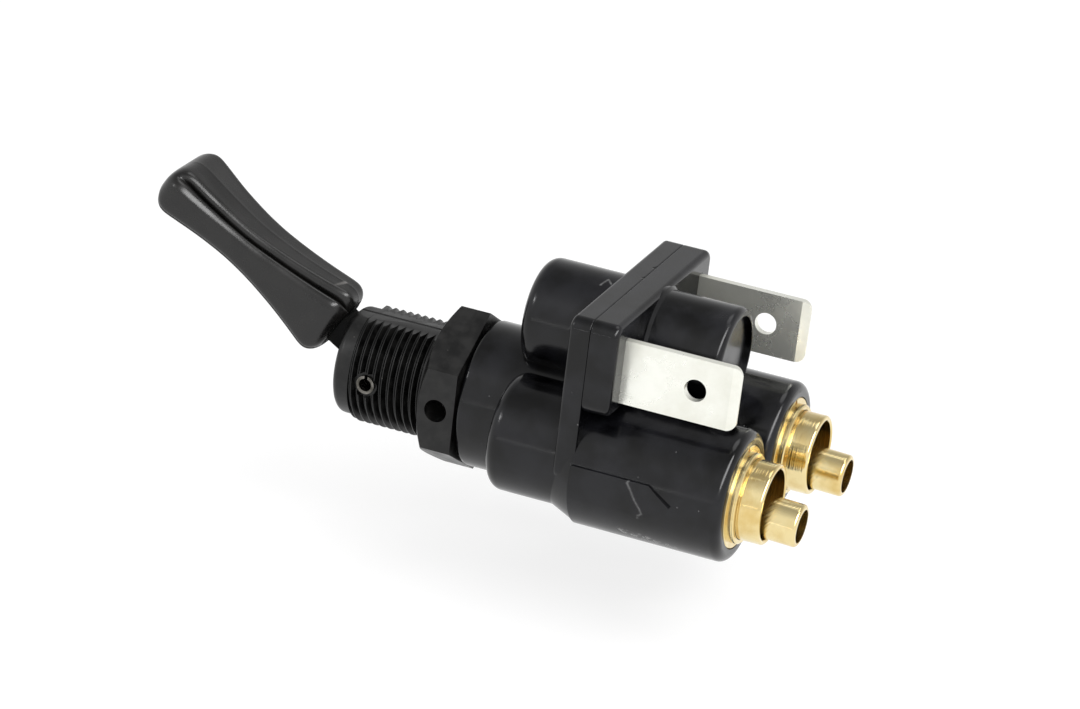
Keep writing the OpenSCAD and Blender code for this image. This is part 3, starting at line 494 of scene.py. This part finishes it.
lever_dark, lever_light, nick_highlight_grey = (0.0042, 0.004, 0.0038), (0.0068, 0.0064, 0.006), (0.4, 0.38, 0.37)
lever_grain, nick_highlight_strength = 0.006 * mm, 0.5
# A short pale arc on the top near the base: a small nick, coloured pale as a painted highlight of the
# light it catches
nick_highlight_path = [(-12.73, -2.89, 8.39), (-12.09, -1.56, 8.00), (-11.67, 0.04, 7.75)]
matt, tree, shader = finish_of("matt_lever", IOR=1.5)
lever_skin = effect_in(tree, skin, Wave_Scale=500.0, Grain_Scale=5200.0, Grain_Share=0.7,
                       Smudge_Scale=420.0, Gloss=0.22, Dull=0.33)
nick_highlight = math_step(tree, "MULTIPLY", path_mask(tree, nick_highlight_path, width=0.3, broken=0.0), nick_highlight_strength)
cloudy = two_tone(tree, lever_skin["Cloud"], lever_dark, lever_light)
tree.links.new(two_tone(tree, nick_highlight, cloudy, nick_highlight_grey), shader["Base Color"])
tree.links.new(lever_skin["Roughness"], shader["Roughness"])
bump(tree, shader, lever_skin["Height"], lever_grain)
# The stem's near-black colour and dull surface are painted shade for the dark gap between the handle and
# the neck
stem_shade = skin_finish("painted_shade_stem", {"IOR": 1.2}, depth=lever_grain,
                      dark=(0.001, 0.001, 0.001), light=(0.0025, 0.0024, 0.0022),
                      Smudge_Scale=600.0, Gloss=0.6, Dull=0.8)
give_finishes(lever, matt, stem_shade, lambda f: (f.calc_center_median() - pivot).dot(handle_way)
              < (handle_start + end_slack) * mm)
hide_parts("lever")
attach(lever, "lever")


# Pivot pin and springs: a slotted spring pin rolled from strip steel and pressed through the
# neck, and two wound springs behind the spool and the switch piston, which press them shorter
# as they slide; here the springs keep their rest shape. Bare bright steel.
steel = skin_finish("bright_steel", {"Metallic": 1.0}, depth=0.004 * mm,
                    dark=(0.08, 0.076, 0.066), light=(0.24, 0.23, 0.21),
                    Wave_Scale=900.0, Grain_Scale=9000.0, Grain_Share=0.5,
                    Smudge_Scale=1500.0, Gloss=0.2, Dull=0.4)
dress(steel, "pivot_pin")
spring_moves = (("return_spring", "spool_slide", 1.31 * mm), ("switch_spring", "switch_slide", 0.4 * mm))
for name, joint, travel in spring_moves:
    spring = solid_copy(name, "wound_" + name)
    smooth_below(spring, degrees=40)
    spring.data.materials.clear()
    spring.data.materials.append(steel)
    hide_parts(name)
    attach(spring, "housing")
    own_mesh(spring)


# Spool and switch piston: turned from natural acetal rod, with fine tool lines, and carrying
# the sealing rings. They slide inside the body and show only when it is opened.

# The tool line effect: fine rings along X and on the end faces, about an axis beside the frame's
lathe, lathe_in, lathe_out = effect(
    "lathe_lines",
    [("Axis Place", "Vector", (0, 0, 0)), ("Line Scale", "Float", 9000.0)],
    [("Height", "Float"), ("Lines", "Float")])
end_line_ratio, fleck_share = 1.37, 0.3
place = vector_step(lathe, "SUBTRACT", add(lathe, "TexCoord", {})["Object"], lathe_in["Axis Place"])
radial = vector_step(lathe, "LENGTH", vector_step(lathe, "MULTIPLY", place, (0, 1, 1)))
length_way = vector_step(lathe, "DOT_PRODUCT", place, (1, 0, 0))
both = math_step(lathe, "ADD", math_step(lathe, "MULTIPLY", radial, end_line_ratio), length_way)
lines = add(lathe, "TexNoise", {"W": both, "Scale": lathe_in["Line Scale"], "Detail": 3.0},
            noise_dimensions="1D")[0]
flecks = add(lathe, "TexNoise", {"Vector": place, "Scale": 1400.0, "Detail": 3.0})[0]
flecks = math_step(lathe, "MULTIPLY", flecks, fleck_share)
lathe.links.new(lines, lathe_out["Lines"])
lathe.links.new(math_step(lathe, "ADD", lines, flecks), lathe_out["Height"])


def turned_finish(name, plain, axis_place, line_scale, gloss, dull, depth):
    material, tree, shader = finish_of(name, **plain)
    tool = effect_in(tree, lathe, Axis_Place=axis_place, Line_Scale=line_scale)
    roughness = add(tree, "MapRange", {"Value": tool["Lines"], "To Min": gloss, "To Max": dull})[0]
    tree.links.new(roughness, shader["Roughness"])
    bump(tree, shader, tool["Height"], depth)
    return material, tree, shader, tool["Lines"]


switch_z = 9.86 * mm
for name, lift in (("valve_spool", 0), ("switch_piston", switch_z)):
    acetal, tree, shader, lines = turned_finish(name + "_acetal", {"IOR": 1.48}, (0, 0, lift),
                                                line_scale=5000.0, gloss=0.3, dull=0.5, depth=0.004 * mm)
    tree.links.new(two_tone(tree, lines, (0.78, 0.77, 0.72), (0.84, 0.83, 0.79)), shader["Base Color"])
    dress(acetal, name)


# Sealing rings: moulded in black nitrile rubber and stretched into their grooves, with the
# faint bloom that such rubber gets.
rubber = skin_finish("nitrile_rubber", {}, depth=0.005 * mm,
                     dark=(0.008, 0.008, 0.008), light=(0.022, 0.022, 0.023),
                     Wave_Scale=700.0, Grain_Scale=8000.0, Grain_Share=0.6,
                     Smudge_Scale=900.0, Gloss=0.5, Dull=0.75)
dress(rubber, "bonnet_seal", "front_spool_seal", "rear_spool_seal", "piston_seal",
      "delivery_seal", "supply_seal")


# Switch cover: a second moulding in the same black nylon, with the rear flange plate, the
# slots for the blades and the spring barrel. It is welded to the body's flange at the seam.
cover_nylon = skin_finish("cover_nylon", {"IOR": 1.4}, depth=nylon_wave,
                          dark=nylon_dark, light=nylon_light,
                          Wave_Scale=230.0, Grain_Scale=4200.0, Grain_Share=0.03,
                          Smudge_Scale=300.0, Gloss=0.12, Dull=0.3)
dress(cover_nylon, "switch_cover")


# Blade terminals: stamped from brass strip and tinned dull, with a punched hole and a lead-in
# bevel, bent to a foot inside the cover. The tin is mottled and has faint rolling lines.
tin, tree, shader = finish_of("tinned_blade", Metallic=0.78)
place = add(tree, "TexCoord", {})["Object"]
cloud = add(tree, "TexNoise", {"Vector": place, "Scale": 240.0, "Detail": 5.0, "Roughness": 0.6})[0]
cloud = add(tree, "MapRange", {"Value": cloud, "From Min": 0.35, "From Max": 0.68})[0]
rolled = add(tree, "Mapping", {"Vector": place, "Scale": (0.06, 1.0, 1.0)})["Vector"]
rolled = add(tree, "TexNoise", {"Vector": rolled, "Scale": 5200.0, "Detail": 3.0})[0]
tree.links.new(two_tone(tree, cloud, (0.9, 0.905, 0.84), (0.79, 0.79, 0.71)), shader["Base Color"])
dulling = add(tree, "MapRange", {"Value": cloud, "To Min": 0.22, "To Max": 0.42})[0]
tree.links.new(dulling, shader["Roughness"])
bump(tree, shader, math_step(tree, "ADD", rolled, cloud), depth=0.003 * mm)
dress(tin, "near_terminal", "far_terminal")


# Brass pieces: at each port a cartridge pressed into the sleeve, a release collet and a loose
# tube insert, turned bright from rod, with fine tool lines round the port's own axis. The
# switch's contact strip is of the near port's brass.
port_y, port_z = 6.91 * mm, -0.54 * mm
for side, port in ((-1, "delivery"), (1, "supply")):
    port_axis = (0, side * port_y, port_z)
    brass, tree, shader, _ = turned_finish(port + "_brass", {"Metallic": 1.0}, port_axis,
                                           line_scale=7000.0, gloss=0.06, dull=0.24, depth=0.012 * mm)
    place = add(tree, "TexCoord", {})["Object"]
    tarnish = add(tree, "TexNoise", {"Vector": place, "Scale": 420.0, "Detail": 5.0})[0]
    tarnish = add(tree, "MapRange", {"Value": tarnish, "From Min": 0.42, "From Max": 0.68})[0]
    tree.links.new(two_tone(tree, tarnish, (0.82, 0.68, 0.36), (0.72, 0.53, 0.21)), shader["Base Color"])
    dress(brass, port + "_cartridge", port + "_collet", port + "_insert")
    if side < 0:
        dress(brass, "contact_bridge")


# Floor and light: a flat white sheet below the lowered lever's reach, a soft strip lamp above
# the camera's right, a weaker lamp on its left, a small low one and a broad one overhead. The
# camera and shiny surfaces see the sheet as white, and it keeps the shadow.

def seen_or_mirrored(tree):
    ray = add(tree, "LightPath", {})
    return highest(tree, [ray["Is Camera Ray"], ray["Is Glossy Ray"], ray["Is Transmission Ray"]])


floor_z, floor_size = -17.6 * mm, 8
bpy.ops.object.select_all(action="DESELECT")
bpy.ops.mesh.primitive_plane_add(size=floor_size, location=(0, 0, floor_z))
floor = bpy.context.object
floor.name = "floor"
bpy.ops.object.transform_apply(location=True, rotation=True, scale=True)
paper = bpy.data.materials.new("floor_paper")
paper.use_nodes = True
tree = paper.node_tree
tree.nodes.remove(tree.nodes["Principled BSDF"])
sheet = add(tree, "BsdfDiffuse", {"Color": (0.8, 0.8, 0.8, 1)})[0]
shaded = add(tree, "BsdfDiffuse", {"Color": (0.28, 0.28, 0.28, 1)})[0]
glow = add(tree, "Emission", {"Color": (1, 1, 1, 1), "Strength": 0.76})[0]
backdrop = add(tree, "AddShader", {0: shaded, 1: glow})[0]
surface = add(tree, "MixShader", {0: seen_or_mirrored(tree), 1: sheet, 2: backdrop})[0]
tree.links.new(surface, tree.nodes["Material Output"].inputs["Surface"])
floor.data.materials.append(paper)

# The room is white along the horizon and dimmer towards the ceiling
world = bpy.data.worlds.new("pale_room")
bpy.context.scene.world = world
world.use_nodes = True
tree = world.node_tree
room_up = (0, 0.42, 1)
height = vector_step(tree, "DOT_PRODUCT", add(tree, "TexCoord", {})["Generated"], room_up)
room = add(tree, "MapRange", {"Value": height, "From Min": 0.35, "From Max": 1.0,
                              "To Min": 1.0, "To Max": 0.42})[0]
strength = add(tree, "MapRange", {"Value": seen_or_mirrored(tree), "To Min": 0.45, "To Max": room})[0]
tree.links.new(strength, tree.nodes["Background"].inputs["Strength"])
tree.nodes["Background"].inputs["Color"].default_value = (1, 1, 1, 1)

lamp_aim = Vector((0.01, 0, 0))


def lamp(name, place, width, length, power, along):
    light = bpy.data.lights.new(name, "AREA")
    light.shape = "ELLIPSE"
    light.size, light.size_y = width, length
    light.energy = power
    stand = bpy.data.objects.new(name, light)
    bpy.context.scene.collection.objects.link(stand)
    outward = (place - lamp_aim).normalized()
    across = along.cross(outward).normalized()
    turned = Matrix((across, outward.cross(across), outward)).transposed().to_4x4()
    stand.matrix_world = Matrix.Translation(place) @ turned


lamp("overhead", Vector((0.1, 0.28, 0.68)), width=0.4, length=0.4, power=0.7,
     along=Vector((0, 1, 0)))
lamp("key_strip", Vector((0.36, -0.26, 0.44)), width=0.2, length=0.8, power=4.0,
     along=Vector((0.22, 0.91, 0.36)))
lamp("left_lamp", Vector((-0.46, -0.48, 0.47)), width=0.12, length=0.12, power=0.7,
     along=Vector((0, 0, 1)))
lamp("low_window", Vector((-0.21, -0.77, 0.05)), width=0.024, length=0.024, power=0.02,
     along=Vector((0, 0, 1)))


# Camera: a long lens above the near side, turned a little about its own axis. Its angles, aim
# and lens follow from the edges of the pieces in the photograph.
turn, rise, roll = (math.radians(a) for a in (19.3928, 22.3745, 6.9145))
target = Vector((9.4834, -0.4564, 5.5973)) * mm
distance, focal_length = 406.334, 139.853
back = Vector((math.sin(turn) * math.cos(rise), -math.cos(turn) * math.cos(rise), math.sin(rise)))
level = Vector((math.cos(turn), math.sin(turn), 0))
upright = back.cross(level)
right = level * math.cos(roll) + upright * math.sin(roll)
up = upright * math.cos(roll) - level * math.sin(roll)
lens = bpy.data.cameras.new("camera")
lens.sensor_width = 36
lens.sensor_fit = "HORIZONTAL"
lens.lens = focal_length
camera = bpy.data.objects.new("camera", lens)
bpy.context.scene.collection.objects.link(camera)
eye = target + back * distance * mm
camera.matrix_world = Matrix(((right.x, up.x, back.x, eye.x), (right.y, up.y, back.y, eye.y),
                              (right.z, up.z, back.z, eye.z), (0, 0, 0, 1)))
bpy.context.scene.camera = camera
bpy.context.scene.view_settings.view_transform = "Standard"
